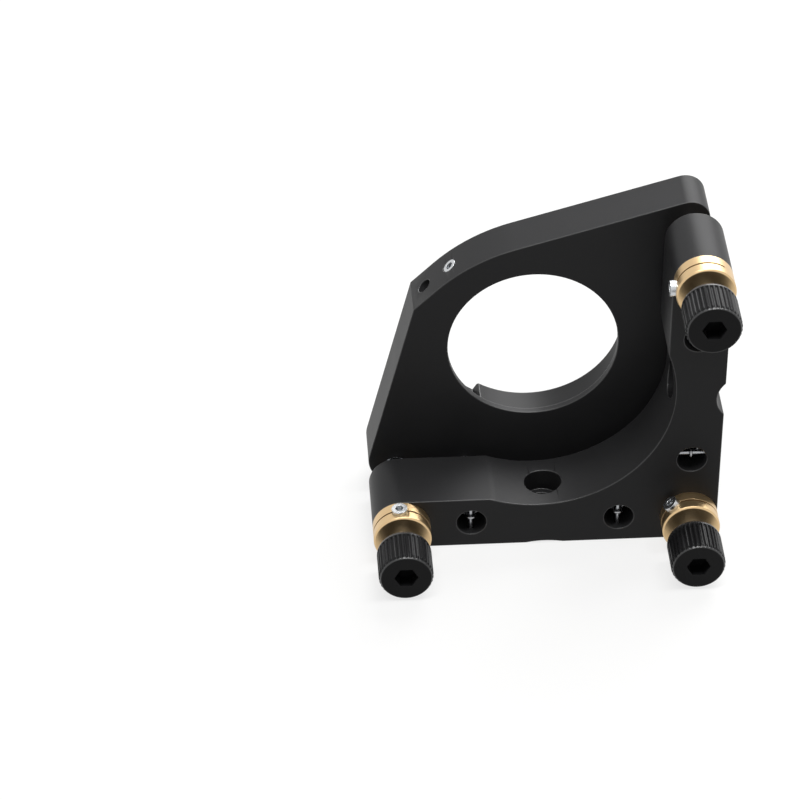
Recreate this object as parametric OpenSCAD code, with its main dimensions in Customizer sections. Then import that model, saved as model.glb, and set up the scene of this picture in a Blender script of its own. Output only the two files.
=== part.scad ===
// Kinematic mirror mount with three adjusters, for a round optic.
// An L-shaped frame carries three fine screws; their balls push on seats in the
// back of the mirror plate, and four springs pull the plate onto them.
// X is right, Y is the optical axis toward the open side of the bore, Z is up.
// The origin is the centre of the mirror seat, the front face of the retaining lip.
// Adjuster a is at the top right, b at the lower left and c at the lower right.

/* [Mirror bore] */
// Diameter of the optic
optic_d = 50.8; // [42:0.1:62]
// Radial play of the optic in its bore
optic_play = 0.05; // [0.05:0.01:0.2]
// Width of the lip that the optic rests on
lip_w = 2.4; // [1.5:0.1:4]
// Thickness of the lip
lip_t = 2; // [1:0.1:3.5]
// Chamfer on the open rim of the bore
rim_chamfer = 0.8; // [0.3:0.1:1.5]
// Depth of the two reliefs beside the contact pads
relief_depth = 3; // [1:0.1:4]

/* [Mirror plate] */
// Thickness of the plate, lip included
plate_t = 13; // [10.8:0.1:16]
// Gap between the plate and the frame
plate_gap = 5.1; // [4.8:0.1:7]
// From the outer adjuster lines to the straight edges of the plate
plate_edge = 4.9; // [4.9:0.1:7]
// Wall between the optic and the slanted top edge
wall_top = 6.1; // [5:0.1:9]
// Wall between the optic and the slanted left edge
wall_side = 9; // [6:0.1:10]
// Wall between the optic and the bevelled corner
wall_bevel = 6.5; // [5:0.1:9]
// Slope of the top edge
top_slope = 16.5; // [13:0.5:20]
// Slope of the left edge
side_slope = 13.8; // [11:0.1:17]
// Blend between the bevelled corner and the top edge
blend_r = 49; // [30:1:60]

/* [Frame] */
// Thickness of the frame
frame_t = 19.3; // [16:0.1:24]
// Width of the two arms and diameter of the collars
arm_w = 15.6; // [14:0.1:18.8]
// From the edge of the optic to the adjuster lines along the two arms
arm_offset = 15.7; // [15:0.1:19]
// From the edge of the optic to the adjusters at the free ends, across the bore
end_offset = 11.5; // [9:0.1:14]
// From the edge of the optic to the inner arc of the frame
arc_offset = 10.3; // [9:0.1:12]

/* [Adjusters] */
// Diameter of the adjuster screws
screw_d = 6; // [5:0.1:7.2]
// Diameter of the bushing barrels
barrel_d = 10; // [9.6:0.1:12]
// Length of the brass collars
collar_l = 6.5; // [5.5:0.1:8]
// Steel neck between collar and knob
neck_l = 3.7; // [3.7:0.1:6]
// Diameter of the knobs
knob_d = 14.7; // [12:0.1:17.2]
// Length of the knobs
knob_l = 12; // [10.2:0.1:15]
// Ribs around a knob
knob_ribs = 36; // [24:1:42]
// Across flats of the hex sockets in the knobs
knob_hex = 5.5; // [3:0.5:6.5]
// Diameter of the balls
ball_d = 4.76; // [4:0.01:5]

/* [Springs] */
// Outer diameter of the springs
spring_d = 6.4; // [5.4:0.1:7]
// Wire of the springs
wire_d = 0.8; // [0.6:0.05:0.9]
// Coils of a spring
spring_coils = 22; // [16:1:24]
// Diameter of the spring holes in the frame
spring_hole_d = 8; // [7.2:0.1:9.5]
// Diameter of the cross pins
pin_d = 1.4; // [1.2:0.1:1.6]
// Half the distance between the springs of one arm
spring_half = 20; // [17:0.5:21]

/* [Post holes] */
// Diameter of the screw holes
post_hole_d = 6.6; // [5.5:0.1:7]
// Diameter of the counterbores in the arc
post_head_d = 10; // [9:0.1:11.4]
// Metal under the screw head
post_floor = 6.4; // [5:0.1:7.5]
// Width of the round hollows in the outer faces
hollow_w = 10; // [7.2:0.1:12]
// Depth of the hollow in the side face
side_hollow = 2.1; // [1:0.1:2.6]
// Depth of the hollow in the base
base_hollow = 0.5; // [0.2:0.1:1]

/* [Small screws] */
// Diameter of the lock screws
lock_d = 4.3; // [3.5:0.1:4.8]
// Length of a lock screw
lock_l = 5.3; // [4.5:0.1:5.8]
// Diameter of the optic screws
optic_screw_d = 4; // [3.5:0.1:4.4]
// Length of an optic screw
optic_screw_l = 4.4; // [4:0.1:5]
// Across flats of the hex sockets in these screws
set_hex = 2; // [1.5:0.1:2]
// Distance of the second optic screw from the first
optic_screw_step = 9.2; // [6:0.1:11]

/* [Hidden] */
$fn = 96;

// Clearances: parts pressed together, a screw in its thread, a ball over its seat
fit_gap = 0.01;
run_gap = 0.03;
seat_gap = 0.28;
over = 1;

// Adjuster places in the plane across the optical axis
optic_r = optic_d / 2;
near_line = optic_r + arm_offset;
free_line = optic_r + end_offset;
place_a = [near_line, free_line];
place_b = [-free_line, -near_line];
place_c = [near_line, -near_line];
arm_r = arm_w / 2;
arc_r = optic_r + arc_offset;

// Stations along the optical axis
plate_back = -lip_t;
plate_front = plate_back + plate_t;
frame_front = plate_back - plate_gap;
frame_back = frame_front - frame_t;
collar_back = frame_back - collar_l;
knob_front = collar_back - neck_l;
knob_back = knob_front - knob_l;
frame_mid = (frame_front + frame_back) / 2;

// The balls' centres share one plane, which holds the tilt axes.
// A ball's widest ring stays half a radius outside the plate.
ball_r = ball_d / 2;
pivot_y = plate_back - ball_r / 2;
seat_reach = ball_r + seat_gap;
seat_rim = 1.6;
seat_floor = 0.4;
screw_r = screw_d / 2;
nose_inset = 0.37;
nose_back = 0.6;
nose_chamfer = 1;
nose_y = pivot_y - nose_back;
screw_in_knob = 6;

// A square vee whose walls lie one seat reach from the ball's centre
vee_y = pivot_y + seat_reach * sqrt(2);
vee_half = vee_y - plate_back + over;
seat_r = ball_r + seat_rim;
seat_bottom = vee_y + seat_floor;

// Bushing collars: the slit leaves a hinge of metal opposite its lock screw
barrel_r = barrel_d / 2;
collar_mid = collar_back + collar_l / 2;
slit_w = 0.5;
slit_web = 0.2 * arm_w;
edge_break = 0.4;
lock_stop = 0.9;
lock_stop_b = 0.4;
lock_angle_a = 180;
lock_angle_b = 95;
lock_angle_c = 130;
lock_r = lock_d / 2;
optic_screw_r = optic_screw_d / 2;
set_hex_depth = 1.8;
set_point = 0.6;

// Knobs: smooth round shoulder toward the collar, grooves between ribs over the rest
knob_r = knob_d / 2;
rib_height = 0.4;
rib_over = 0.1;
shoulder_l = 1.6;
shoulder_drop = 1;
knob_chamfer = 0.65;
knob_hex_depth = 4;

// Springs hook over pins in the frame and in the plate
spring_mid = (near_line - free_line) / 2;
base_left = [spring_mid - spring_half, -near_line];
base_right = [spring_mid + spring_half, -near_line];
frame_pin_y = frame_back + 3.25;
plate_pin_y = plate_back + 5.6;
plate_hole_r = spring_d / 2 + 0.4;
plate_hole_depth = 8.2;
pin_r = pin_d / 2;
pin_hold = 2.4;
pin_recess = 0.3;
wire_r = wire_d / 2;
hook_r = pin_r + wire_r + 0.08;
frame_leg = 2;
plate_leg = 0.9;
coil_r = spring_d / 2 - wire_r;
coil_back = frame_pin_y + hook_r + frame_leg;
coil_front = plate_pin_y - hook_r - plate_leg;
coil_pitch = (coil_front - coil_back) / spring_coils;
link_r = 0.9 * wire_r;
web_t = wire_d / 3;

// Post holes sit midway along each arm and in the middle of the frame's thickness
post_at = spring_mid;

// Mirror plate outline: each edge is its normal's direction and its distance from the axis,
// and each corner has a radius. The corners run on from the first edge.
bore_r = optic_r + optic_play;
plate_far = near_line + plate_edge;
plate_edges = [
    [90 + top_slope, optic_r + wall_top],
    [135, optic_r + wall_bevel],
    [180 - side_slope, optic_r + wall_side],
    [270, plate_far],
    [360, plate_far]
];
plate_corner_r = [blend_r, 0, 8, 5, 5.5];

// Contact pads at two places on the bore, opposite the optic screws, and the reliefs past them
pad_end = 32;
relief_span = 34;
relief_r = bore_r + relief_depth;

// Optic screws stand square to the bevelled corner, halfway through the plate.
// Each nylon tip waits just inside the wall of the bore.
plate_mid = (plate_back + plate_front) / 2;
bevel_dist = optic_r + wall_bevel;
tip_r = 1.2;
tip_out = 1.4;
tip_hold = 0.8;
tip_wait = 0.4;

black = "#2a2a2b";
brass = "#b9975c";
steel = "#8d8f92";
bright = "#c3c5c7";
nylon = "#e8e6df";

// ---- helpers ----

// Places its children at a point of the plane across the optical axis
module at(place) translate([place[0], 0, place[1]]) children();

// A flat outline in X and Z, made solid from y0 to y1
module slab(y0, y1) translate([0, y1, 0]) rotate([90, 0, 0]) linear_extrude(y1 - y0) children();

// A round bar along Y
module bar(r, y0, y1) translate([0, y0, 0]) rotate([-90, 0, 0]) cylinder(h = y1 - y0, r = r);

// A turned solid about Y, from points of radius and y
module turned(points) rotate([-90, 0, 0]) rotate_extrude() polygon(points);

// A hexagonal prism about Z, from its distance across flats
module hex_bar(flats, h) cylinder(h = h, r = flats / sqrt(3), $fn = 6);

function unit(angle) = [cos(angle), sin(angle)];

// Where two edges meet, each a normal direction and a distance
function meet(e, f) =
    let (d = sin(f[0] - e[0]))
    [(e[1] * sin(f[0]) - f[1] * sin(e[0])) / d, (f[1] * cos(e[0]) - e[1] * cos(f[0])) / d];

// ---- frame ----

// The side arm repeats the base arm, mirrored across the diagonal through adjuster c
module onto_side() mirror([1, 0, 1]) children();
module both_arms() {
    children();
    onto_side() children();
}

// The base arm: straight, with round ends about adjusters b and c
module arm_outline() {
    translate(place_b - [0, arm_r]) square([place_c[0] - place_b[0], arm_w]);
    translate(place_b) circle(arm_r);
    translate(place_c) circle(arm_r);
}

module frame_outline() {
    difference() {
        union() {
            arm_outline();
            mirror([1, 1]) arm_outline();
            translate([0, -near_line]) square(near_line);
        }
        circle(arc_r);
    }
}

// Screw hole, counterbore from the arc and a shallow round hollow along the outer face
module post_cuts(hollow) {
    hollow_r = (hollow_w * hollow_w / 4 + hollow * hollow) / (2 * hollow);
    translate([post_at, 0, -near_line - arm_r]) {
        translate([0, frame_mid, -over]) cylinder(h = arm_w, d = post_hole_d);
        translate([0, frame_mid, hollow + post_floor]) cylinder(h = arm_w, d = post_head_d);
        translate([0, 0, hollow - hollow_r]) bar(hollow_r, frame_back - over, frame_front + over);
    }
}

module back_frame() {
    color(black) difference() {
        slab(frame_back, frame_front) frame_outline();
        for (p = [place_a, place_b, place_c])
            at(p) bar(barrel_r + fit_gap, frame_back - over, frame_front + over);
        both_arms() for (p = [base_left, base_right]) {
            at(p) bar(spring_hole_d / 2, frame_back - over, frame_front + over);
            frame_pin(p, fit_gap, pin_recess + over);
        }
        post_cuts(base_hollow);
        onto_side() post_cuts(side_hollow);
    }
}

// ---- mirror plate ----

// One corner of the outline: its point, its fillet's centre and the fillet's two ends
function corner(i) =
    let (e = plate_edges[i], f = plate_edges[(i + 1) % len(plate_edges)], r = plate_corner_r[i],
         c = meet([e[0], e[1] - r], [f[0], f[1] - r]))
    [meet(e, f), c, c + r * unit(e[0]), c + r * unit(f[0])];

module plate_outline() {
    corners = [for (i = [0:len(plate_edges) - 1]) corner(i)];
    polygon([for (k = corners) each (k[2] == k[3] ? [k[0]] : [k[2], k[3]])]);
    for (i = [0:len(corners) - 1]) {
        k = corners[i];
        if (plate_corner_r[i] > 0) intersection() {
            translate(k[1]) circle(plate_corner_r[i]);
            polygon([k[1], k[2], k[0], k[3]]);
        }
    }
}

// The relief past one contact pad
module relief_outline() intersection() {
    circle(relief_r);
    polygon([[0, 0], 2 * relief_r * unit(pad_end), 2 * relief_r * unit(pad_end + relief_span)]);
}

module front_plate() {
    color(black) difference() {
        slab(plate_back, plate_front) plate_outline();
        bar(optic_r - lip_w, plate_back - over, over);
        bar(bore_r, 0, plate_front + over);
        turned([[0, plate_front - rim_chamfer - bore_r], [bore_r + rim_chamfer + over, plate_front + over],
                [0, plate_front + over]]);
        slab(0, plate_front + over) {
            relief_outline();
            mirror([1, 1]) relief_outline();
        }
        for (p = [place_a, place_b, place_c]) at(p) bar(seat_r + fit_gap, plate_back - over, seat_bottom);
        both_arms() for (p = [base_left, base_right]) {
            at(p) bar(plate_hole_r, plate_back - over, plate_back + plate_hole_depth);
            plate_pin(p, fit_gap, pin_recess + over);
        }
        for (step = [0, optic_screw_step]) on_bevel(step) translate([0, 0, -over])
            cylinder(h = bevel_dist / 2, r = optic_screw_r + run_gap);
    }
}

// ---- adjusters ----

// The collar and barrel are turned in one, bored for the screw's thread, then slit and tapped
module bushing(place, lock_angle, stop) {
    color(brass) at(place) difference() {
        turned([
            [screw_r + run_gap, collar_back], [arm_r - edge_break, collar_back],
            [arm_r, collar_back + edge_break], [arm_r, frame_back], [barrel_r, frame_back],
            [barrel_r, frame_front - edge_break], [barrel_r - edge_break, frame_front],
            [screw_r + run_gap, frame_front]
        ]);
        toward(lock_angle) {
            translate([-arm_w, -slit_w / 2, -over]) cube([2 * arm_w, slit_w, over + arm_w - slit_web]);
            translate([0, 0, -over])
                cylinder(h = over + lock_l - lock_proud(stop) + set_point / 2, r = lock_r + run_gap);
        }
    }
}

// The middle of a collar's rim at an angle from X toward Z, with Z pointing in at the screw
module toward(angle) rotate([0, 270 - angle, 0]) translate([0, collar_mid, -arm_r]) children();

// A hex-socket set screw along Z, its socket at the bottom and a cone point at the top
module set_screw(r, l, point) difference() {
    union() {
        cylinder(h = l - point, r = r);
        translate([0, 0, l - point]) cylinder(h = point, r1 = r, r2 = r - point);
    }
    translate([0, 0, -over]) hex_bar(set_hex, over + set_hex_depth);
}

// How far a lock screw stands out of its collar when it stops at this distance from the adjuster screw
function lock_proud(stop) = screw_r + stop + lock_l - arm_r;

module lock_screw(place, angle, stop)
    color(bright) at(place) toward(angle) translate([0, 0, -lock_proud(stop)])
        set_screw(lock_r, lock_l, set_point);

module adjuster_screw(place) {
    color(steel) at(place) difference() {
        turned([
            [0, knob_front - screw_in_knob], [screw_r, knob_front - screw_in_knob],
            [screw_r, nose_y - nose_chamfer], [screw_r - nose_inset, nose_y], [0, nose_y]
        ]);
        translate([0, pivot_y, 0]) sphere(ball_r + run_gap);
    }
}

module ball(place) color(bright) at(place) translate([0, pivot_y, 0]) sphere(ball_r);

// The ribs around a knob as one outline that runs out past its rim
module rib_outline() {
    root = knob_r - rib_height;
    tip = knob_r + rib_over;
    pitch = 360 / knob_ribs;
    polygon([for (i = [0:knob_ribs - 1]) each [
        root * unit((i - 0.12) * pitch),
        root * unit((i + 0.12) * pitch),
        tip * unit((i + 0.33) * pitch),
        tip * unit((i + 0.67) * pitch)
    ]]);
}

// Turned with a round shoulder and a chamfered face, then grooved, bored and given its socket
module knob(place) {
    shoulder_r = (shoulder_drop * shoulder_drop + shoulder_l * shoulder_l) / (2 * shoulder_drop);
    shoulder_y = knob_front - shoulder_l;
    color(black) at(place) difference() {
        turned([
            [0, knob_back], [knob_r - knob_chamfer, knob_back], [knob_r, knob_back + knob_chamfer],
            for (k = [0:4]) let (along = k * shoulder_l / 4)
                [knob_r - shoulder_r + sqrt(shoulder_r * shoulder_r - along * along), shoulder_y + along],
            [0, knob_front]
        ]);
        slab(knob_back - over, shoulder_y) difference() {
            circle(knob_r + over);
            rib_outline();
        }
        bar(screw_r + fit_gap, knob_front - screw_in_knob - fit_gap, knob_front + over);
        translate([0, knob_back + knob_hex_depth, 0]) rotate([90, 0, 0])
            hex_bar(knob_hex, knob_hex_depth + over);
    }
}

// ---- ball seats ----

// The groove runs up the side arm, toward adjuster c
module groove_seat_a() color(bright) at(place_a) difference() {
    bar(seat_r, plate_back, seat_bottom);
    translate([0, 0, -seat_r - over]) linear_extrude(2 * (seat_r + over))
        polygon([[0, vee_y], [vee_half, vee_y - vee_half], [-vee_half, vee_y - vee_half]]);
}

module flat_seat_b() color(bright) at(place_b) bar(seat_r, pivot_y + seat_reach, seat_bottom);

module cone_seat_c() color(bright) at(place_c) difference() {
    bar(seat_r, plate_back, seat_bottom);
    turned([[0, vee_y], [0, vee_y - vee_half], [vee_half, vee_y - vee_half]]);
}

// ---- springs ----

// A coil as linked rings, with a loop around the pin at each end, on the base arm
module spring(place) color(steel) at(place) {
    rotate([-90, 0, 0]) rotate_extrude() {
        for (i = [0:spring_coils]) translate([coil_r, coil_back + i * coil_pitch]) circle(wire_r);
        translate([coil_r - web_t / 2, coil_back]) square([web_t, coil_front - coil_back]);
    }
    for (y = [frame_pin_y, plate_pin_y])
        translate([0, y, 0]) rotate_extrude() translate([hook_r, 0]) circle(wire_r);
    bar(link_r, frame_pin_y + hook_r, coil_back);
    bar(link_r, coil_front, plate_pin_y - hook_r);
    for (y = [coil_back, coil_front])
        translate([-coil_r, y, 0]) rotate([0, 90, 0]) cylinder(h = 2 * coil_r, r = link_r);
}

// A cross pin through a spring hole of the base arm, or its hole when given a gap and a run-out
module cross_pin(place, y, outer, hole_r, gap, run_out) {
    top = place[1] + hole_r + pin_hold + gap;
    translate([place[0], y, outer + pin_recess - run_out])
        cylinder(h = top - outer - pin_recess + run_out, r = pin_r + gap);
}

module frame_pin(place, gap = 0, run_out = 0)
    cross_pin(place, frame_pin_y, -near_line - arm_r, spring_hole_d / 2, gap, run_out);

module plate_pin(place, gap = 0, run_out = 0)
    cross_pin(place, plate_pin_y, -plate_far, plate_hole_r, gap, run_out);

// ---- optic screws ----

// The bevelled face, a step along it from its foot, with Z pointing in at the bore
module on_bevel(step) rotate([0, 135, 0]) translate([step, plate_mid, -bevel_dist]) children();

// How deep a screw sits, so that its tip waits behind the wall of the bore
function sink(step) = bevel_dist - sqrt(bore_r * bore_r - step * step) - optic_screw_l - tip_out - tip_wait;

module optic_screw(step) color(bright) on_bevel(step) translate([0, 0, sink(step)]) difference() {
    set_screw(optic_screw_r, optic_screw_l, edge_break);
    translate([0, 0, optic_screw_l - tip_hold]) cylinder(h = tip_hold + over, r = tip_r + run_gap);
}

module optic_tip(step) color(nylon) on_bevel(step)
    translate([0, 0, sink(step) + optic_screw_l - tip_hold + run_gap])
        cylinder(h = tip_hold + tip_out - run_gap, r = tip_r);

back_frame();
front_plate();
bushing(place_a, lock_angle_a, lock_stop);  // bushing_a
bushing(place_b, lock_angle_b, lock_stop_b);  // bushing_b
bushing(place_c, lock_angle_c, lock_stop);  // bushing_c
lock_screw(place_a, lock_angle_a, lock_stop);  // lock_screw_a
lock_screw(place_b, lock_angle_b, lock_stop_b);  // lock_screw_b
lock_screw(place_c, lock_angle_c, lock_stop);  // lock_screw_c
adjuster_screw(place_a);  // adjuster_screw_a
adjuster_screw(place_b);  // adjuster_screw_b
adjuster_screw(place_c);  // adjuster_screw_c
knob(place_a);  // knob_a
knob(place_b);  // knob_b
knob(place_c);  // knob_c
ball(place_a);  // ball_a
ball(place_b);  // ball_b
ball(place_c);  // ball_c
groove_seat_a();
flat_seat_b();
cone_seat_c();
onto_side() spring(base_left);  // spring_side_upper
onto_side() spring(base_right);  // spring_side_lower
spring(base_left);  // spring_base_left
spring(base_right);  // spring_base_right
color(steel) onto_side() frame_pin(base_left);  // frame_pin_side_upper
color(steel) onto_side() frame_pin(base_right);  // frame_pin_side_lower
color(steel) frame_pin(base_left);  // frame_pin_base_left
color(steel) frame_pin(base_right);  // frame_pin_base_right
color(steel) onto_side() plate_pin(base_left);  // plate_pin_side_upper
color(steel) onto_side() plate_pin(base_right);  // plate_pin_side_lower
color(steel) plate_pin(base_left);  // plate_pin_base_left
color(steel) plate_pin(base_right);  // plate_pin_base_right
optic_screw(0);  // optic_screw_flush
optic_screw(optic_screw_step);  // optic_screw_deep
optic_tip(0);  // optic_tip_flush
optic_tip(optic_screw_step);  // optic_tip_deep
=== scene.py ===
# %% [markdown]
# # A kinematic mirror mount
#
# This mount holds a round mirror and tilts it by fractions of a degree. An L-shaped frame carries three
# fine screws with knurled knobs. Their balls push on the back of a mirror plate, and springs pull the
# plate onto them. The lesson dresses a finished engineering model: milled parts get eased edges, knobs
# get their knurl, springs get real coils, and each metal gets the surface that its making left on it.
#
# The frame comes first. It holds every part as a plain mesh in metres, in one shared frame: X to the
# right, Y along the optical axis, Z up. Places are read from it. The sizes that only the engineering
# source knows, such as the wire of a spring or the ribs of a knob, are named values below.

from math import cos, pi, radians, sin, sqrt

import bmesh
import bpy
from mathutils import Matrix, Vector


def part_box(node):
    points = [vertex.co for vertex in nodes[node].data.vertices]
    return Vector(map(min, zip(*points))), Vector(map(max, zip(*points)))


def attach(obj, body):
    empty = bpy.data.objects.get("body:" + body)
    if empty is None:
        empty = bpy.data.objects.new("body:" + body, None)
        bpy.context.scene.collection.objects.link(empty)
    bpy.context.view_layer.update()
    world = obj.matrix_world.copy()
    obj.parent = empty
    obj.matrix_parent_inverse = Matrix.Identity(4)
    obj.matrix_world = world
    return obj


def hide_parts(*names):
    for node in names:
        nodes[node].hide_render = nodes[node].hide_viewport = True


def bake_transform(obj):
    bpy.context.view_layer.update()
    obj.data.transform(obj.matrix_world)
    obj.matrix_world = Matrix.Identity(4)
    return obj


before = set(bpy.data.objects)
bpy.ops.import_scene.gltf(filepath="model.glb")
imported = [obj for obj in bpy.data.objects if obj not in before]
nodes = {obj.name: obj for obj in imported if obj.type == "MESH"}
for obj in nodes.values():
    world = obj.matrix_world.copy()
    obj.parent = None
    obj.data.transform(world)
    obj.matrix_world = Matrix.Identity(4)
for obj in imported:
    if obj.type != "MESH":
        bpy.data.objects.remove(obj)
scene = bpy.context.scene
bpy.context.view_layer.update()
print("parts in the frame:", len(nodes))

# %% [markdown]
# ## Units and colours
#
# Machinists speak in millimetres and Blender in metres, so one constant turns the first into the second.
# Colours are easiest to write as the hex codes of a paint chart. Those are sRGB, and a shader wants
# linear light, so one function does that for every colour in the scene.

# %% Millimetres and hex colours
MM = 0.001


def colour(code):
    """A six-digit sRGB hex code as a linear colour with full alpha."""
    parts = [int(code[i:i + 2], 16) / 255 for i in (0, 2, 4)]
    return [c / 12.92 if c <= 0.04045 else ((c + 0.055) / 1.055) ** 2.4 for c in parts] + [1.0]


print("mid grey 808080 is", round(colour("808080")[0], 4), "in linear light")

# %% [markdown]
# ## Two helpers for node trees
#
# Materials and Geometry Nodes are both trees of nodes. One small function adds any node, sets its
# properties, fills its sockets with numbers and links other nodes to it. A second one starts a material
# with its Principled shader, because every finish here is one.

# %% Add a node, start a material
def add(tree, kind, values=None, links=None, **settings):
    """A new node: settings are its properties, values its sockets' numbers, links their sources."""
    node = tree.nodes.new(kind)
    for name, value in settings.items():
        setattr(node, name, value)
    for socket, value in (values or {}).items():
        node.inputs[socket].default_value = value
    for socket, source in (links or {}).items():
        tree.links.new(source, node.inputs[socket])
    return node


def new_finish(name, **sockets):
    """A material with one Principled shader, and the tree and coordinates to go on with."""
    material = bpy.data.materials.new(name)
    material.use_nodes = True
    tree = material.node_tree
    tree.nodes.clear()
    shader = add(tree, "ShaderNodeBsdfPrincipled", values=sockets)
    add(tree, "ShaderNodeOutputMaterial", links={"Surface": shader.outputs["BSDF"]})
    place = add(tree, "ShaderNodeTexCoord").outputs["Object"]
    return material, tree, shader, place


# %% [markdown]
# ## Black anodised aluminium
#
# The frame and the plate are milled, bead blasted and dyed black in an acid bath. The oxide is a clear
# hard skin over dye, so it shades like a dark dull ceramic and not like bare metal: no metallic value and
# a roughness that scatters light widely. The blasted pits swallow much of the oxide's gloss, so its
# specular level is low. Blasting leaves grit marks of about a tenth of a millimetre. That is finer than
# the picture can hold, so they are drawn at three times their size. The dye takes a little unevenly over
# a centimetre or two.

# %% The anodised finish
BLAST_GRIT = 0.3 * MM
DYE_PATCH = 16 * MM


def anodised(name, dark, light, rough_low, rough_high, gloss, depth):
    """Dyed oxide over blasted aluminium: uneven dye, uneven sheen and grit marks."""
    material, tree, shader, place = new_finish(name, IOR=1.5, **{"Specular IOR Level": gloss})
    patches = add(tree, "ShaderNodeTexNoise", {"Scale": 1 / DYE_PATCH, "Detail": 3.0, "Roughness": 0.55},
                  {"Vector": place})
    # a colour Mix node keeps its sockets by number: 0 is the factor, 6 and 7 the colours, 2 the result
    tint = add(tree, "ShaderNodeMix", links={0: patches.outputs["Fac"]}, data_type="RGBA")
    tint.inputs[6].default_value = colour(dark)
    tint.inputs[7].default_value = colour(light)
    sheen = add(tree, "ShaderNodeMapRange", {"To Min": rough_low, "To Max": rough_high},
                {"Value": patches.outputs["Fac"]})
    marks = add(tree, "ShaderNodeTexNoise", {"Scale": 1 / BLAST_GRIT, "Detail": 2.0}, {"Vector": place})
    bump = add(tree, "ShaderNodeBump", {"Strength": 0.5, "Distance": depth},
               {"Height": marks.outputs["Fac"]})
    tree.links.new(tint.outputs[2], shader.inputs["Base Color"])
    tree.links.new(sheen.outputs["Result"], shader.inputs["Roughness"])
    tree.links.new(bump.outputs["Normal"], shader.inputs["Normal"])
    return material


print("blast marks drawn at", BLAST_GRIT / MM, "mm")

# %% [markdown]
# ## Turned brass
#
# The three bushings are turned from brass bar and left satin. Brass is a true metal, so its colour is the
# colour of its reflections, with metallic at one and the index left alone. The lathe's tool leaves fine
# rings: around the axis on a flat end, and side by side along the rim. Both are one wave whose input is
# the distance from the axis plus the distance along it. A tenth of a millimetre of feed is drawn as a
# third, so that it shows. Each bushing's rings are centred on its own axis by a Mapping node.

# %% The turned metals
TOOL_FEED = 0.33 * MM
TOOL_DEPTH = 0.012 * MM
BRASS_PATCH = 6 * MM
WAVE_UNIT = pi / 10  # a Wave texture of scale 1 repeats after this length


def uneven_sheen(tree, shader, place, patch, low, high):
    """Roughness that varies between two values over patches of this size, as handling leaves it."""
    patches = add(tree, "ShaderNodeTexNoise", {"Scale": 1 / patch, "Detail": 3.0}, {"Vector": place})
    sheen = add(tree, "ShaderNodeMapRange", {"To Min": low, "To Max": high},
                {"Value": patches.outputs["Fac"]})
    tree.links.new(sheen.outputs["Result"], shader.inputs["Roughness"])


def turned_metal(name, code, roughness, axis_xz):
    """Lathe-turned metal: rings about an axis along Y, and a little unevenness in its sheen."""
    material, tree, shader, place = new_finish(name, Metallic=1.0, **{"Base Color": colour(code)})
    centre = add(tree, "ShaderNodeMapping", {"Location": (-axis_xz[0], 0.0, -axis_xz[1])},
                 {"Vector": place})
    parts = add(tree, "ShaderNodeSeparateXYZ", links={"Vector": centre.outputs["Vector"]})
    across = add(tree, "ShaderNodeCombineXYZ", links={"X": parts.outputs["X"], "Z": parts.outputs["Z"]})
    radius = add(tree, "ShaderNodeVectorMath", links={"Vector": across.outputs["Vector"]},
                 operation="LENGTH")
    path = add(tree, "ShaderNodeMath", links={0: radius.outputs["Value"], 1: parts.outputs["Y"]},
               operation="ADD")
    feed_line = add(tree, "ShaderNodeCombineXYZ", links={"X": path.outputs["Value"]})
    rings = add(tree, "ShaderNodeTexWave",
                {"Scale": WAVE_UNIT / TOOL_FEED, "Distortion": 0.6, "Detail": 1.0},
                {"Vector": feed_line.outputs["Vector"]}, wave_type="BANDS", bands_direction="X")
    bump = add(tree, "ShaderNodeBump", {"Strength": 0.4, "Distance": TOOL_DEPTH},
               {"Height": rings.outputs["Fac"]})
    uneven_sheen(tree, shader, place, BRASS_PATCH, roughness - 0.06, roughness + 0.08)
    tree.links.new(bump.outputs["Normal"], shader.inputs["Normal"])
    return material


def middle(node):
    """The middle of a part's box."""
    low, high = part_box(node)
    return (low + high) / 2


ADJUSTERS = "abc"
axis_of = {k: (middle(f"knob_{k}").x, middle(f"knob_{k}").z) for k in ADJUSTERS}
brass = {k: turned_metal(f"turned_brass_{k}", "d8ba8d", 0.33, axis_of[k]) for k in ADJUSTERS}
print("adjuster axes, mm:", {k: (round(x / MM, 1), round(z / MM, 1)) for k, (x, z) in axis_of.items()})

# %% [markdown]
# ## Steel, and the other small finishes
#
# Six more finishes. The adjuster screws are ground steel with a very fine thread, which shows only as
# fine bands along the axis. The lock and optic screws are nickel-plated. The balls and their seats are
# hardened and polished, and the cross pins are plain ground pins, a little duller. The springs are drawn
# music wire, slightly darker again. The tips that touch the mirror are natural nylon, an off-white
# plastic with a waxy sheen.

# %% Steel and nylon
THREAD_PITCH = 0.5 * MM  # the real thread is twice as fine, too fine to show
THREAD_DEPTH = 0.04 * MM
NYLON_GRAIN = 0.4 * MM


def drawn_metal(name, code, roughness, patch):
    """Plain bright metal with an uneven sheen."""
    material, tree, shader, place = new_finish(name, Metallic=1.0, **{"Base Color": colour(code)})
    uneven_sheen(tree, shader, place, patch, roughness - 0.05, roughness + 0.1)
    return material


def threaded_steel(name, code):
    """Ground steel with a fine thread along Y, drawn as bands."""
    material, tree, shader, place = new_finish(name, Metallic=1.0, Roughness=0.3,
                                               **{"Base Color": colour(code)})
    bands = add(tree, "ShaderNodeTexWave", {"Scale": WAVE_UNIT / THREAD_PITCH}, {"Vector": place},
                wave_type="BANDS", bands_direction="Y")
    bump = add(tree, "ShaderNodeBump", {"Strength": 0.7, "Distance": THREAD_DEPTH},
               {"Height": bands.outputs["Fac"]})
    tree.links.new(bump.outputs["Normal"], shader.inputs["Normal"])
    return material


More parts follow.
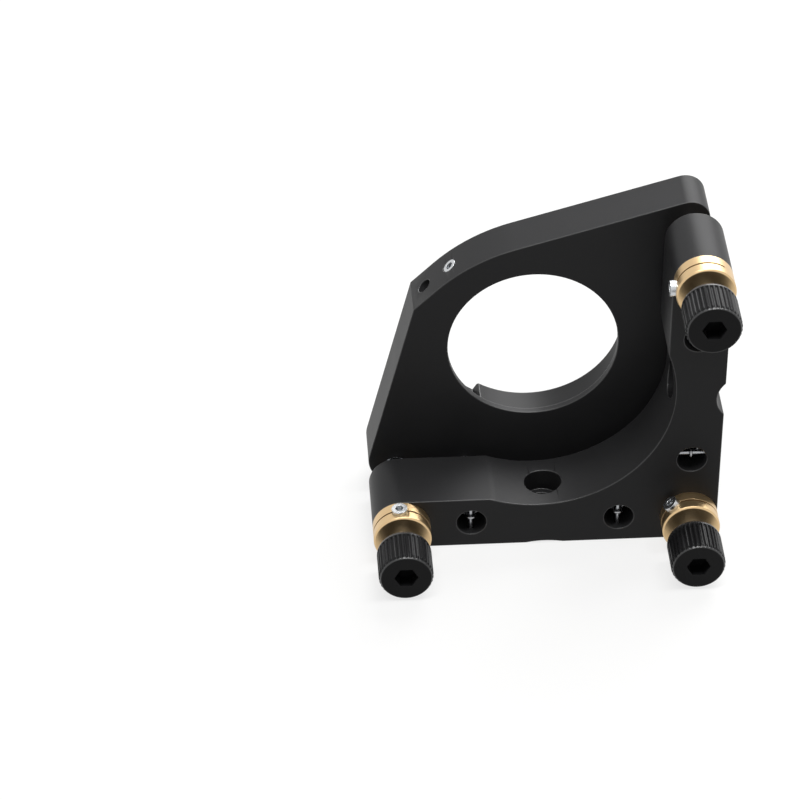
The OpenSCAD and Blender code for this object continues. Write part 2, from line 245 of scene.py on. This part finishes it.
def moulded_nylon(name, code):
    """Natural nylon: off-white, waxy, faintly uneven."""
    material, tree, shader, place = new_finish(name, IOR=1.53, Roughness=0.42,
                                               **{"Base Color": colour(code)})
    grain = add(tree, "ShaderNodeTexNoise", {"Scale": 1 / NYLON_GRAIN}, {"Vector": place})
    bump = add(tree, "ShaderNodeBump", {"Strength": 0.2, "Distance": 0.02 * MM},
               {"Height": grain.outputs["Fac"]})
    tree.links.new(bump.outputs["Normal"], shader.inputs["Normal"])
    return material


body_black = anodised("blasted_anodised_aluminium", "242425", "2b2b2c",
                      rough_low=0.38, rough_high=0.48, gloss=0.15, depth=0.02 * MM)
# The edge finish is lighter than the body, which paints a highlight on every eased edge. It is also
# smoother and glossier.
painted_highlight_edge = anodised("anodised_edge_painted_highlight", "2b2b2c", "343435",
                      rough_low=0.24, rough_high=0.32, gloss=0.5, depth=0.01 * MM)
knob_black = anodised("turned_anodised_aluminium", "1a1a1b", "1f1f20",
                      rough_low=0.24, rough_high=0.32, gloss=0.09, depth=0.006 * MM)
screw_steel = threaded_steel("threaded_ground_steel", "8b8d91")
bright_steel = drawn_metal("nickel_plated_steel", "c6c8ca", 0.24, 2 * MM)
ball_steel = drawn_metal("hardened_ball_steel", "b4b6b9", 0.12, 2 * MM)
pin_steel = drawn_metal("dowel_pin_steel", "a9abae", 0.28, 1 * MM)
wire_steel = drawn_metal("drawn_music_wire", "a2a3a5", 0.26, 1 * MM)
nylon = moulded_nylon("natural_nylon", "e4e0d3")
print("finishes:", [m.name for m in bpy.data.materials])

# %% [markdown]
# ## Milled parts with eased edges
#
# No machined edge is perfectly sharp: a deburring tool leaves a narrow flat or round that catches the
# light, and that thin bright line is what makes an edge look real. The engineering model has the right
# shapes with sharp edges. So each such part is copied, its loose triangles are merged, flat regions are
# joined into single faces, and a Bevel modifier rounds every edge above an angle. A Weighted Normal
# modifier then lets the large faces set the shading, so that flat stays flat right up to the round.

# %% Ease the edges of a copied part
SHARP = radians(32)  # an edge that turns more than this is eased
FLAT = radians(0.2)  # faces that differ by less than this are one flat face
WELD = 0.0005 * MM  # points closer than this are one point
FACE_WEIGHT = 80  # how strongly the large faces set the shading


def eased_copy(node, material, ease, segments=2, edge_material=None):
    """A part's shape as one clean mesh with rounded edges, which may have a finish of their own, lighter
    for a painted highlight.
    """
    mesh = nodes[node].data.copy()
    mesh.materials.clear()
    for finish in filter(None, (material, edge_material)):
        mesh.materials.append(finish)
    work = bmesh.new()
    work.from_mesh(mesh)
    bmesh.ops.remove_doubles(work, verts=work.verts, dist=WELD)
    bmesh.ops.dissolve_limit(work, angle_limit=FLAT, verts=work.verts, edges=work.edges)
    for face in work.faces:
        face.smooth = True
        face.material_index = 0
    work.to_mesh(mesh)
    work.free()
    piece = bpy.data.objects.new(f"{node}_eased", mesh)
    scene.collection.objects.link(piece)
    bevel = piece.modifiers.new("ease", "BEVEL")
    bevel.width = ease
    bevel.segments = segments
    bevel.limit_method = "ANGLE"
    bevel.angle_limit = SHARP
    bevel.use_clamp_overlap = False
    bevel.material = 1 if edge_material else -1
    shading = piece.modifiers.new("flat faces stay flat", "WEIGHTED_NORMAL")
    shading.mode = "FACE_AREA"
    shading.weight = FACE_WEIGHT
    return piece


def stand_for(piece, node, body):
    """Puts a finished piece on its body and hides the part it replaces."""
    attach(piece, body)
    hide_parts(node)
    print(f"{piece.name}: {len(piece.data.polygons)} faces on {body}")


def dress(node, material, ease, body, slot, **extra):
    """Puts an eased copy in the place of a part."""
    stand_for(eased_copy(node, material, ease, **extra), node, body)


# %% [markdown]
# ## The frame and the mirror plate
#
# These two plates set the whole look. Their edges are eased by a quarter of a millimetre. The eased
# strips get a finish of their own: a little lighter, which paints a highlight along every edge, and a
# good deal smoother than the blasted faces.

# %% Frame and plate
PLATE_EASE = 0.24 * MM
for node, body in (("back_frame", "frame"), ("front_plate", "plate")):
    dress(node, body_black, PLATE_EASE, body, "anodised_body", segments=3, edge_material=painted_highlight_edge)

# %% [markdown]
# ## Bushings, screws and seats
#
# The collars, the lock screws and the optic screws are small, so their edges are eased less. The screws
# in the collars and in the plate have hexagonal sockets, and their corners are eased in the same pass.

# %% Bushings and small screws
COLLAR_EASE = 0.06 * MM
SCREW_EASE = 0.1 * MM
TIP_EASE = 0.15 * MM
for k in ADJUSTERS:
    dress(f"bushing_{k}", brass[k], COLLAR_EASE, "frame", "brass")
    dress(f"lock_screw_{k}", bright_steel, SCREW_EASE, f"lock_{k}", "bright_steel")
    dress(f"adjuster_screw_{k}", screw_steel, SCREW_EASE, f"adjuster_{k}", "screw_steel")
for depth in ("flush", "deep"):
    dress(f"optic_screw_{depth}", bright_steel, SCREW_EASE, f"optic_screw_{depth}", "bright_steel")
    dress(f"optic_tip_{depth}", nylon, TIP_EASE, f"optic_tip_{depth}", "nylon")

# %% [markdown]
# ## Parts that keep their shape
#
# A ball, a seat and a dowel pin are already right as they are, so they only get their finish. It goes
# into the material slots of the part itself.

# %% Finish the plain parts
def paint(node, material):
    """Gives a part of the frame a finish in place."""
    mesh = nodes[node].data
    mesh.materials.clear()
    mesh.materials.append(material)


hardened = [f"ball_{k}" for k in ADJUSTERS] + ["groove_seat_a", "flat_seat_b", "cone_seat_c"]
pins = [f"{end}_pin_{spring}" for end in ("frame", "plate")
        for spring in ("side_upper", "side_lower", "base_left", "base_right")]
for node in hardened:
    paint(node, ball_steel)
for node in pins:
    paint(node, pin_steel)
print("painted in place:", len(hardened + pins))

# %% [markdown]
# ## Growing shapes with Geometry Nodes
#
# What repeats by a rule is grown by a node tree: the ribs of a knob, the turns of a spring. Each tree has
# named inputs for its sizes, so one tree serves every size. A modifier's inputs are set by the identifier
# of each socket, which stays when a name changes. The evaluated object is then copied into a plain mesh
# and the seed object with its modifier goes away, so no growth tree is left working in the scene.

# %% Start, finish and run a growth tree
def start_growth(name, sizes):
    """A geometry tree with these named inputs: the tree, its inner input sockets and its output node."""
    tree = bpy.data.node_groups.new(name, "GeometryNodeTree")
    for size in sizes:
        kind = "NodeSocketInt" if size.startswith("Number") else "NodeSocketFloat"
        tree.interface.new_socket(name=size, in_out="INPUT", socket_type=kind)
    tree.interface.new_socket(name="Material", in_out="INPUT", socket_type="NodeSocketMaterial")
    tree.interface.new_socket(name="Geometry", in_out="OUTPUT", socket_type="NodeSocketGeometry")
    return tree, add(tree, "NodeGroupInput").outputs, add(tree, "NodeGroupOutput")


def finish_growth(tree, given, out, mesh):
    """Ends a tree: real geometry, smooth faces, its material."""
    real = add(tree, "GeometryNodeRealizeInstances", links={0: mesh})
    smooth = add(tree, "GeometryNodeSetShadeSmooth", links={0: real.outputs[0]})
    done = add(tree, "GeometryNodeSetMaterial",
               links={"Geometry": smooth.outputs[0], "Material": given["Material"]})
    tree.links.new(done.outputs[0], out.inputs[0])


def grow(name, tree, sizes):
    """A plain mesh from a growth tree with these sizes."""
    seed = bpy.data.objects.new(f"{name}_seed", bpy.data.meshes.new(f"{name}_seed"))
    scene.collection.objects.link(seed)
    modifier = seed.modifiers.new("grow", "NODES")
    modifier.node_group = tree
    for item in tree.interface.items_tree:
        if item.name in sizes:
            modifier[item.identifier] = sizes[item.name]
    grown = seed.evaluated_get(bpy.context.evaluated_depsgraph_get())
    mesh = bpy.data.meshes.new_from_object(grown)
    bpy.data.objects.remove(seed)
    return mesh


def sum_of(tree, operation, *terms):
    """The output socket of a sum whose terms are sockets or numbers."""
    numbers = {i: t for i, t in enumerate(terms) if isinstance(t, (int, float))}
    sockets = {i: t for i, t in enumerate(terms) if i not in numbers}
    return add(tree, "ShaderNodeMath", numbers, sockets, operation=operation).outputs[0]


print("growth helpers ready")

# %% [markdown]
# ## The knurl
#
# A straight knurl is a ring of small ridges rolled into a turned knob. A flat grid is bent into a tube:
# across the grid is the angle, along it the distance down the knob, and the rows crowd towards both ends
# where the shape changes. The radius is a wave with one flat-topped tip for each rib. A chamfer cuts the
# tips off at the face, and at the smooth shoulder the valleys run out up a slope. The first row is drawn
# in to a plain circle on the face and the last one is a plain circle on the shoulder, so the tube can
# later be welded to the turned body, which has the same number of points around.

# %% The knurl tree: angle and distance
ROWS = 24
PER_RIB = 8

knurl, given, out = start_growth("straight knurl", (
    "Number of ribs", "Valley radius", "Tip radius", "Face radius", "Face ring",
    "Start", "Length", "Run out"))
columns = sum_of(knurl, "MULTIPLY_ADD", given["Number of ribs"], PER_RIB, 1)
grid = add(knurl, "GeometryNodeMeshGrid", {"Size X": 1.0, "Size Y": 1.0, "Vertices Y": ROWS},
           {"Vertices X": columns})
spot = add(knurl, "ShaderNodeSeparateXYZ", links={0: add(knurl, "GeometryNodeInputPosition").outputs[0]})
around = sum_of(knurl, "ADD", spot.outputs["X"], 0.5)
down = sum_of(knurl, "ADD", spot.outputs["Y"], 0.5)
angle = sum_of(knurl, "MULTIPLY", around, 2 * pi)
swing = sum_of(knurl, "COSINE", sum_of(knurl, "MULTIPLY", down, pi))
crowded = sum_of(knurl, "MULTIPLY_ADD", swing, -0.5, 0.5)
first_step = (1 - cos(pi / (ROWS - 1))) / 2
eased = sum_of(knurl, "MAXIMUM", sum_of(knurl, "SUBTRACT", crowded, first_step), 0.0)
share = sum_of(knurl, "DIVIDE", eased, 1 - first_step)
distance = sum_of(knurl, "MULTIPLY", share, given["Length"])
print("rows:", ROWS, "points around each rib:", PER_RIB)

# %% The knurl tree: radius
FLANK_START, FLANK_END = 0.12, 0.31  # where a rib's side starts and ends, as shares of its pitch
FACE_SLOPE = 0.6  # the chamfer at the face is shallow, so that it looks up
wave = sum_of(knurl, "PINGPONG", sum_of(knurl, "MULTIPLY", around, given["Number of ribs"]), 0.5)
flank_width = FLANK_END - FLANK_START
flank = sum_of(knurl, "MULTIPLY_ADD", wave, 1 / flank_width, -FLANK_START / flank_width)
ridge = sum_of(knurl, "MINIMUM", sum_of(knurl, "MAXIMUM", flank, 0.0), 1.0)
height = sum_of(knurl, "SUBTRACT", given["Tip radius"], given["Valley radius"])
ribbed = sum_of(knurl, "MULTIPLY_ADD", ridge, height, given["Valley radius"])
to_shoulder = sum_of(knurl, "SUBTRACT", given["Length"], distance)
slope = sum_of(knurl, "MULTIPLY", to_shoulder, given["Run out"])
rising = sum_of(knurl, "SUBTRACT", given["Tip radius"], slope)
chamfer = sum_of(knurl, "MULTIPLY_ADD", distance, FACE_SLOPE, given["Face radius"])
radius = sum_of(knurl, "MINIMUM", sum_of(knurl, "MAXIMUM", ribbed, rising), chamfer)
first_row = sum_of(knurl, "LESS_THAN", down, 0.5 / (ROWS - 1))
drawn_in = sum_of(knurl, "MULTIPLY", first_row, sum_of(knurl, "SUBTRACT", given["Face ring"], radius))
radius = sum_of(knurl, "ADD", radius, drawn_in)
bent = add(knurl, "ShaderNodeCombineXYZ", links={
    "X": sum_of(knurl, "MULTIPLY", radius, sum_of(knurl, "COSINE", angle)),
    "Y": sum_of(knurl, "ADD", given["Start"], distance),
    "Z": sum_of(knurl, "MULTIPLY", radius, sum_of(knurl, "SINE", angle))})
tube = add(knurl, "GeometryNodeSetPosition",
           links={"Geometry": grid.outputs["Mesh"], "Position": bent.outputs[0]})
seam = add(knurl, "GeometryNodeMergeByDistance", {"Distance": WELD}, {"Geometry": tube.outputs[0]})
finish_growth(knurl, given, out, seam.outputs[0])
print("knurl tree:", len(knurl.nodes), "nodes")

# %% [markdown]
# ## The knobs
#
# A knob is turned from aluminium bar and dyed black like the plates, but not blasted, so it keeps a little
# more sheen. It has a flat face with a hexagon socket for a key, the knurl, and a smooth shoulder. The
# body is turned here as rings of points. A ring's radius may follow the angle, which is how the hexagon
# socket is made in the same pass. The knurl is welded in between.

# %% Turn rings into a solid
KNOB_TIP = 7.33 * MM
KNOB_VALLEY = 6.93 * MM
KNOB_FACE = 6.85 * MM
KNOB_RING = 6.65 * MM
KNOB_RIBS = 36
KNOB_SHOULDER = 2.2 * MM
KNOB_DROP = 1.6 * MM  # how much narrower the knob is where it faces the collar
KNOB_BORE = 3.02 * MM
KNOB_BORE_DEPTH = 6.0 * MM
BORE_CHAMFER = 0.2 * MM
SOCKET_FLATS = 5.5 * MM
SOCKET_DEPTH = 4.0 * MM
SOCKET_CHAMFER = 0.12 * MM
RUN_OUT = 0.9  # how steeply the valleys rise to the shoulder
KNOB_WELD = 0.001 * MM
PAINTED_RIB_END_RUN = 0.5 * MM  # how far down from the face the ends of the ribs take the edge finish, a painted highlight
AROUND = KNOB_RIBS * PER_RIB


def hexagon(flats):
    """The radius of a hexagon at an angle, from its distance across flats; two corners lie along X."""
    return lambda turn: flats / 2 / cos(turn % (pi / 3) - pi / 6)


def add_ring(work, size, y):
    """A ring of points about the Y axis, or one point on it."""
    if size == 0:
        return [work.verts.new((0.0, y, 0.0))] * AROUND
    turns = [2 * pi * i / AROUND for i in range(AROUND)]
    sizes = [size(turn) if callable(size) else size for turn in turns]
    return [work.verts.new((r * cos(turn), y, r * sin(turn))) for r, turn in zip(sizes, turns)]


def round_shoulder(start, end, drop, steps=8):
    """Points of an arc that leaves a cylinder smoothly at start and has sunk by drop at end."""
    length = end - start
    bend = (drop ** 2 + length ** 2) / (2 * drop)
    along = [length * i / steps for i in range(steps + 1)]
    return [(KNOB_TIP - bend + sqrt(bend ** 2 - a ** 2), start + a) for a in along]


def add_turned(work, profile):
    """Faces through rings given as (radius or radius by angle, y)."""
    rings = [add_ring(work, size, y) for size, y in profile]
    for low, high in zip(rings, rings[1:]):
        for i in range(AROUND):
            j = (i + 1) % AROUND
            work.faces.new(dict.fromkeys((low[i], low[j], high[j], high[i])))


print("points around a knob:", AROUND)

# %% Weld body and knurl
def knob_mesh(k):
    """A whole knob: face with its socket, knurl, shoulder and the bore that holds the screw."""
    low, high = (corner.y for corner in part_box(f"knob_{k}"))
    shoulder = high - KNOB_SHOULDER
    sizes = {"Number of ribs": KNOB_RIBS, "Valley radius": KNOB_VALLEY, "Tip radius": KNOB_TIP,
             "Face radius": KNOB_FACE, "Face ring": KNOB_RING, "Start": low, "Length": shoulder - low,
             "Run out": RUN_OUT, "Material": knob_black}
    work = bmesh.new()
    work.from_mesh(grow(f"knurl_{k}", knurl, sizes))
    add_turned(work, [
        (0, low + SOCKET_DEPTH), (hexagon(SOCKET_FLATS), low + SOCKET_DEPTH),
        (hexagon(SOCKET_FLATS), low + SOCKET_CHAMFER),
        (hexagon(SOCKET_FLATS + 2 * SOCKET_CHAMFER), low), (KNOB_RING, low)])
    add_turned(work, round_shoulder(shoulder, high, KNOB_DROP) + [
        (KNOB_BORE + BORE_CHAMFER, high), (KNOB_BORE, high - BORE_CHAMFER),
        (KNOB_BORE, high - KNOB_BORE_DEPTH), (0, high - KNOB_BORE_DEPTH)])
    bmesh.ops.remove_doubles(work, verts=work.verts, dist=KNOB_WELD)
    bmesh.ops.recalc_face_normals(work, faces=work.faces)
    bmesh.ops.translate(work, verts=work.verts, vec=(axis_of[k][0], 0.0, axis_of[k][1]))
    open_edges = sum(1 for edge in work.edges if not edge.is_manifold)
    mesh = bpy.data.meshes.new(f"knurled_knob_{k}")
    for face in work.faces:
        face.smooth = True
        spot = face.calc_center_median()
        outside = Vector((spot.x - axis_of[k][0], spot.z - axis_of[k][1])).length > KNOB_RING
        # faces outside the face ring, near the face and on the shoulder, take the edge finish: a painted
        # highlight
        face.material_index = int(outside and not low + PAINTED_RIB_END_RUN < spot.y < shoulder)
    work.to_mesh(mesh)
    work.free()
    mesh.set_sharp_from_angle(angle=SHARP)
    mesh.materials.append(knob_black)
    mesh.materials.append(painted_highlight_edge)
    print(f"knob {k}: {len(mesh.polygons)} faces, open edges {open_edges}")
    return mesh


for k in ADJUSTERS:
    knob = bpy.data.objects.new(f"knurled_knob_{k}", knob_mesh(k))
    scene.collection.objects.link(knob)
    stand_for(knob, f"knob_{k}", f"adjuster_{k}")

# %% [markdown]
# ## The springs
#
# An extension spring is one wire wound into a coil, with a loop at each end that hooks over a cross pin.
# The coil is a spiral curve. Each loop is an arc that lies across the coil's end, and a short free curve
# bends the wire from the last turn into the loop. The near loop stands further off than the far one, so
# one function draws an end for any leg, and the far end is then turned half round. A circle swept along
# all of them gives the wire its thickness. Two springs stand side by side on each arm, so the tree places
# one spring on two points.

# %% The spring tree
TURN_POINTS = 28
LOOP_POINTS = 30
BEND_POINTS = 14
WIRE_SIDES = 10
LOOP_START, LOOP_SWEEP = radians(50), radians(-300)
BEND_OUT = (-0.5 * MM, -1.6 * MM)  # how the wire leaves the last turn: towards the loop, and sideways
BEND_IN = 0.9 * MM  # how far the bend's last handle reaches back from the start of the loop

coil, given, out = start_growth("extension spring", (
    "Number of turns", "Coil radius", "Wire radius", "Length", "Loop radius",
    "Near leg", "Far leg", "Half spacing"))
turns = add(coil, "GeometryNodeCurveSpiral", {"Resolution": TURN_POINTS}, {
    "Rotations": given["Number of turns"], "Start Radius": given["Coil radius"],
    "End Radius": given["Coil radius"], "Height": given["Length"]})


def coil_point(x, z, y=0.0):
    """A point of the spring's own space, its numbers or sockets in one vector."""
    given_as = {"X": x, "Y": y, "Z": z}
    numbers = {axis: v for axis, v in given_as.items() if isinstance(v, float)}
    sockets = {axis: v for axis, v in given_as.items() if axis not in numbers}
    return add(coil, "ShaderNodeCombineXYZ", numbers, sockets).outputs[0]


def spring_end(leg):
    """The loop below the coil's start, at the distance of its leg, and the bend that leads to it."""
    arc = add(coil, "GeometryNodeCurveArc", {
        "Resolution": LOOP_POINTS, "Start Angle": LOOP_START, "Sweep Angle": LOOP_SWEEP},
        {"Radius": given["Loop radius"]}, mode="RADIUS")
    centre = sum_of(coil, "MULTIPLY", sum_of(coil, "ADD", given["Loop radius"], leg), -1)
    loop = add(coil, "GeometryNodeTransform", {"Rotation": (pi / 2, 0.0, 0.0)},
               {"Geometry": arc.outputs["Curve"], "Translation": coil_point(0.0, centre)})
    start_x = sum_of(coil, "MULTIPLY", given["Loop radius"], cos(LOOP_START))
    start_z = sum_of(coil, "MULTIPLY_ADD", given["Loop radius"], sin(LOOP_START), centre)
    before_x = sum_of(coil, "SUBTRACT", start_x, BEND_IN * sin(LOOP_START))
    before_z = sum_of(coil, "ADD", start_z, BEND_IN * cos(LOOP_START))
    bend = add(coil, "GeometryNodeCurvePrimitiveBezierSegment", {"Resolution": BEND_POINTS}, {
        "Start": coil_point(given["Coil radius"], 0.0),
        "Start Handle": coil_point(given["Coil radius"], *BEND_OUT),
        "End Handle": coil_point(before_x, before_z), "End": coil_point(start_x, start_z)}, mode="POSITION")
    both = add(coil, "GeometryNodeJoinGeometry")
    for part in (loop, bend):
        coil.links.new(part.outputs[0], both.inputs[0])
    return both


near_end = spring_end(given["Near leg"])
print("spring tree so far:", len(coil.nodes), "nodes")

# %% Both ends, the wire and the pair
far_end = add(coil, "GeometryNodeTransform", {"Rotation": (pi, 0.0, 0.0)},
              {"Geometry": spring_end(given["Far leg"]).outputs[0],
               "Translation": coil_point(0.0, given["Length"])})
path = add(coil, "GeometryNodeJoinGeometry")
for part in (turns, near_end, far_end):
    coil.links.new(part.outputs[0], path.inputs[0])
section = add(coil, "GeometryNodeCurvePrimitiveCircle", {"Resolution": WIRE_SIDES},
              {"Radius": given["Wire radius"]})
wire = add(coil, "GeometryNodeCurveToMesh", {"Fill Caps": True},
           {"Curve": path.outputs[0], "Profile Curve": section.outputs["Curve"]})
pair = add(coil, "GeometryNodeMeshLine", {"Count": 2}, {
    "Start Location": coil_point(sum_of(coil, "MULTIPLY", given["Half spacing"], -1), 0.0),
    "Offset": coil_point(sum_of(coil, "MULTIPLY", given["Half spacing"], 2), 0.0)})
placed = add(coil, "GeometryNodeInstanceOnPoints",
             links={"Points": pair.outputs[0], "Instance": wire.outputs[0]})
finish_growth(coil, given, out, placed.outputs[0])
print("spring tree:", len(coil.nodes), "nodes")

# %% [markdown]
# ## Springs in their holes
#
# The springs stretch when the plate tilts, and the plate tilts by three hinges in a row. Here each pair is
# grown at rest, long enough to reach from the frame's pins to the plate's pins, and stood on its arm. The
# places of the pins come from the frame.

# %% Grow and place the springs
WIRE = 0.8 * MM
COIL_OUTSIDE = 6.4 * MM
LOOP_RADIUS = 1.18 * MM
FRAME_LEG = 2.0 * MM
PLATE_LEG = 0.9 * MM
COILS = 22


def spring_pair(name, first, second, upright):
    """Two springs between four pins, on an arm that lies down or stands upright."""
    back, front = (middle(f"{end}_pin_{first}") for end in ("frame", "plate"))
    other = middle(f"frame_pin_{second}")
    between = (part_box(f"spring_{first}")[0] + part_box(f"spring_{second}")[1]) / 2
    half = (other - back).length / 2
    length = front.y - back.y - 2 * LOOP_RADIUS - FRAME_LEG - PLATE_LEG
    mesh = grow(name, coil, {"Number of turns": COILS, "Coil radius": (COIL_OUTSIDE - WIRE) / 2,
                             "Wire radius": WIRE / 2, "Length": length, "Loop radius": LOOP_RADIUS,
                             "Near leg": FRAME_LEG, "Far leg": PLATE_LEG, "Half spacing": half,
                             "Material": wire_steel})
    stand = Matrix.Rotation(-pi / 2, 4, "X")
    if upright:
        stand = Matrix.Rotation(pi / 2, 4, "Y") @ stand
    mesh.transform(Matrix.Translation((between.x, back.y + LOOP_RADIUS + FRAME_LEG, between.z)) @ stand)
    piece = bpy.data.objects.new(name, mesh)
    scene.collection.objects.link(piece)
    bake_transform(piece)
    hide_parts(f"spring_{first}", f"spring_{second}")
    print(f"{name}: {len(mesh.polygons)} faces, coil length {round(length / MM, 2)} mm")


spring_pair("side_spring_pair", "side_upper", "side_lower", True)
spring_pair("base_spring_pair", "base_left", "base_right", False)

# %% [markdown]
# ## The camera
#
# A long lens from behind and above gives the flat, calm view of a catalogue. The camera stands nearly a
# metre away and looks down at the knobs.

# %% Camera
FOCAL_LENGTH, SENSOR_WIDTH = 157.5, 36.0
CAMERA_PLACE = (-80.5, -755.9, 560.5)
CAMERA_TILT, CAMERA_TURN = 52.588, -3.39  # degrees up from straight down, and to the right

lens = bpy.data.cameras.new("catalogue_lens")
lens.lens = FOCAL_LENGTH
lens.sensor_width = SENSOR_WIDTH
camera = bpy.data.objects.new("catalogue_camera", lens)
camera.location = Vector(CAMERA_PLACE) * MM
camera.rotation_euler = (radians(CAMERA_TILT), 0.0, radians(CAMERA_TURN))
scene.collection.objects.link(camera)
scene.camera = camera
print("camera distance, mm:", round(camera.location.length / MM))

# %% [markdown]
# ## The table
#
# Black parts need a pale surround, because what they show is mostly reflection. The table is matt and
# lies just under the base. Its own grey is modest, so that it throws little light up at the black faces.
# Seen by the camera, by a gloss or through glass it gets a glow on top of the light that falls on it,
# which lifts it to white and still leaves the soft shadow.

# %% Table
TABLE_HALF = 3000 * MM
TABLE_GAP = 0.02 * MM
TABLE_TOOTH = 0.8 * MM
TABLE_GLOW = 0.76

table_material, tree, shader, place = new_finish("matt_pale_table", Roughness=0.9,
                                                 **{"Base Color": colour("7d7d7c")})
paper = add(tree, "ShaderNodeTexNoise", {"Scale": 1 / TABLE_TOOTH, "Detail": 2.0}, {"Vector": place})
tooth = add(tree, "ShaderNodeBump", {"Strength": 0.1, "Distance": 0.02 * MM},
            {"Height": paper.outputs["Fac"]})
tree.links.new(tooth.outputs["Normal"], shader.inputs["Normal"])


def seen_directly(tree):
    """One for camera, glossy and transmission rays, which see the surround; nought for the rest."""
    ray = add(tree, "ShaderNodeLightPath").outputs
    some = add(tree, "ShaderNodeMath", links={0: ray["Is Camera Ray"], 1: ray["Is Glossy Ray"]},
               operation="MAXIMUM")
    return add(tree, "ShaderNodeMath", links={0: some.outputs[0], 1: ray["Is Transmission Ray"]},
               operation="MAXIMUM").outputs[0]


glow = add(tree, "ShaderNodeMath", {1: TABLE_GLOW}, {0: seen_directly(tree)}, operation="MULTIPLY")
tree.links.new(glow.outputs[0], shader.inputs["Emission Strength"])
shader.inputs["Emission Color"].default_value = (1.0, 1.0, 1.0, 1.0)
table_z = min(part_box(node)[0].z for node in nodes) - TABLE_GAP
corners = [(x * TABLE_HALF, y * TABLE_HALF, table_z) for x, y in ((-1, -1), (1, -1), (1, 1), (-1, 1))]
table_mesh = bpy.data.meshes.new("table")
table_mesh.from_pydata(corners, [], [(0, 1, 2, 3)])
table_mesh.materials.append(table_material)
table = bpy.data.objects.new("table", table_mesh)
scene.collection.objects.link(table)
print("table at z, mm:", round(table_z / MM, 2))

# %% [markdown]
# ## Light
#
# A large soft lamp beyond the mount and above it makes the top faces the lightest and leaves the back
# faces dark, as they are on the real object. A long narrow one overhead is what the eased edges catch as
# thin bright lines. The world adds a low even light, and the camera, a gloss and glass all see it white.

# %% Lamps and world
def soft_lamp(name, wide, deep, power, place, aim):
    """A rectangular area lamp at a place in millimetres, turned to look at another."""
    data = bpy.data.lights.new(name, "AREA")
    data.shape = "RECTANGLE"
    data.size, data.size_y = wide * MM, deep * MM
    data.energy = power
    lamp = bpy.data.objects.new(name, data)
    lamp.location = Vector(place) * MM
    lamp.rotation_euler = (Vector(aim) - Vector(place)).to_track_quat("-Z", "Y").to_euler()
    scene.collection.objects.link(lamp)


MIDDLE = (0, -20, 0)  # near the middle of the mount; both lamps look at it
WORLD_LIGHT = 0.2
soft_lamp("beyond", 900, 900, 12.5, (380, 770, 700), MIDDLE)
soft_lamp("overhead_strip", 1000, 120, 8.0, (60, -160, 1040), MIDDLE)

world = bpy.data.worlds.new("studio")
world.use_nodes = True
scene.world = world
tree = world.node_tree
tree.nodes.clear()
strength = add(tree, "ShaderNodeMapRange", {"To Min": WORLD_LIGHT, "To Max": 1.0},
               {"Value": seen_directly(tree)})
sky = add(tree, "ShaderNodeBackground", {"Color": (1.0, 1.0, 1.0, 1.0)},
          {"Strength": strength.outputs["Result"]})
add(tree, "ShaderNodeOutputWorld", links={"Surface": sky.outputs["Background"]})

# %% [markdown]
# ## Colour management
#
# The Standard view leaves colours as they were written.

# %% Finish
scene.view_settings.view_transform = "Standard"
